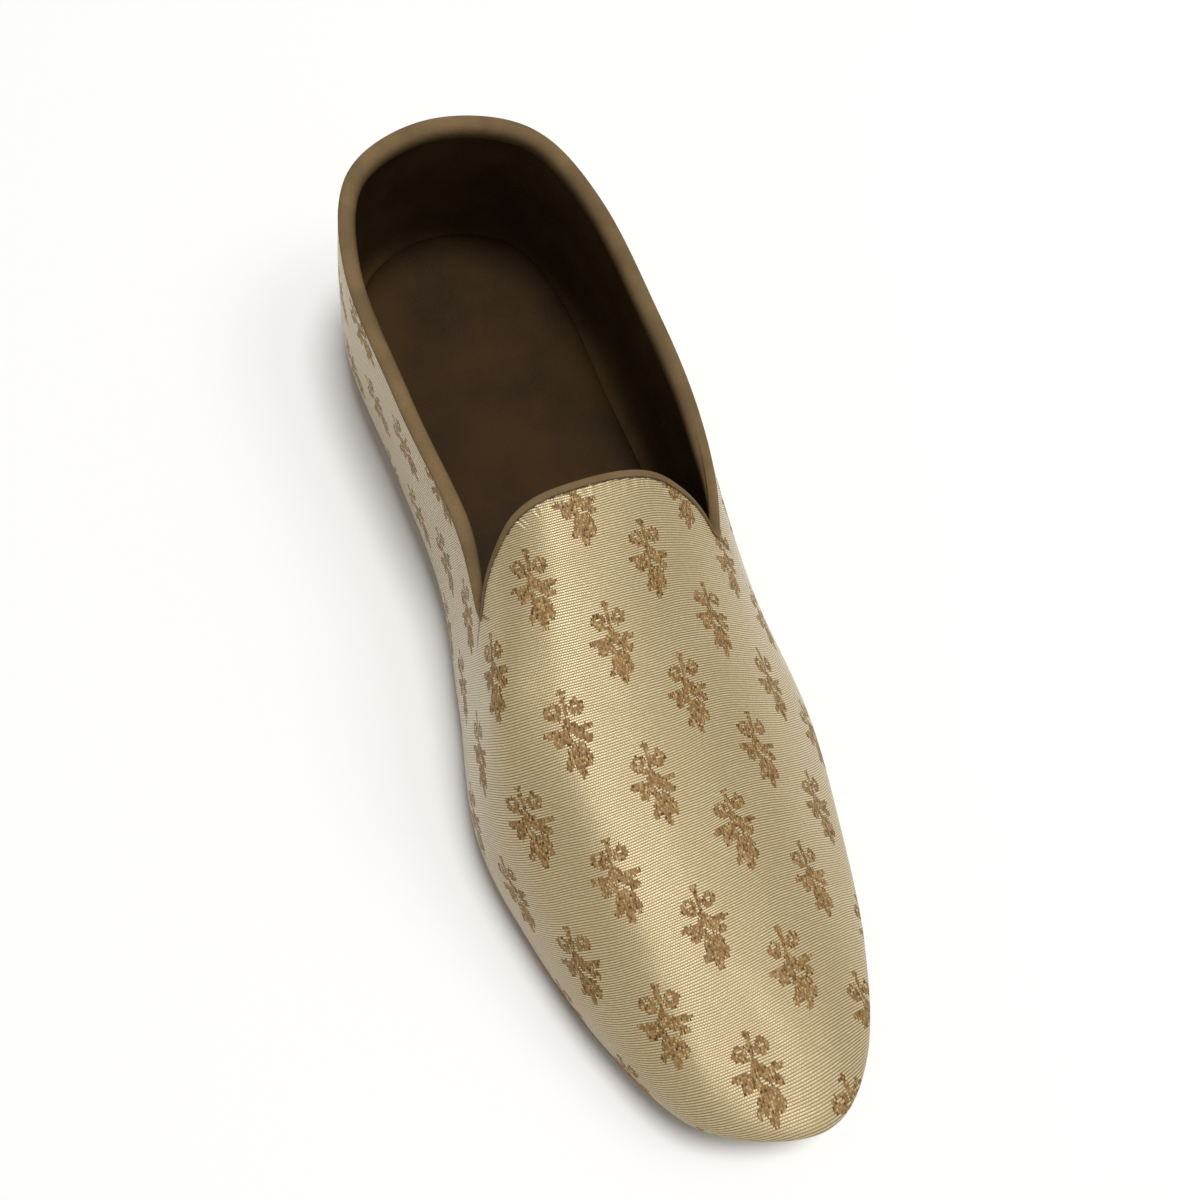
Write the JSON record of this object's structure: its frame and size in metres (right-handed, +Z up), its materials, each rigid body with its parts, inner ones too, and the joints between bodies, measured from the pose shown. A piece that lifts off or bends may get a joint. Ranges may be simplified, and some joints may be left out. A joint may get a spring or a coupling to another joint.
{
  "type": "mojari shoe",
  "caption": "Low slip-on mojari shoe for the left foot: a hollow brocade upper with bound edges on a thin leather sole with a low heel.",
  "frame": {"origin": "on the floor under the middle of the shoe's box", "axes": "+X to the toe, +Y to the outside of the left foot, +Z up"},
  "size_m": [0.2874, 0.099, 0.0791],
  "materials": {
    "sole_leather": "natural cream leather with a brown stained edge",
    "heel_rubber": "matt brown sheet rubber",
    "brocade": "satin-faced gold brocade with woven brown sprigs",
    "binding": "matt taupe facing, turned over the edge",
    "lining": "matt dark brown lining leather"
  },
  "bodies": {
    "root": {"outsole": "sole_leather", "heel": "heel_rubber", "upper": "brocade", "vamp_binding": "binding", "collar_binding": "binding", "insole": "lining"}
  },
  "joints": []
}
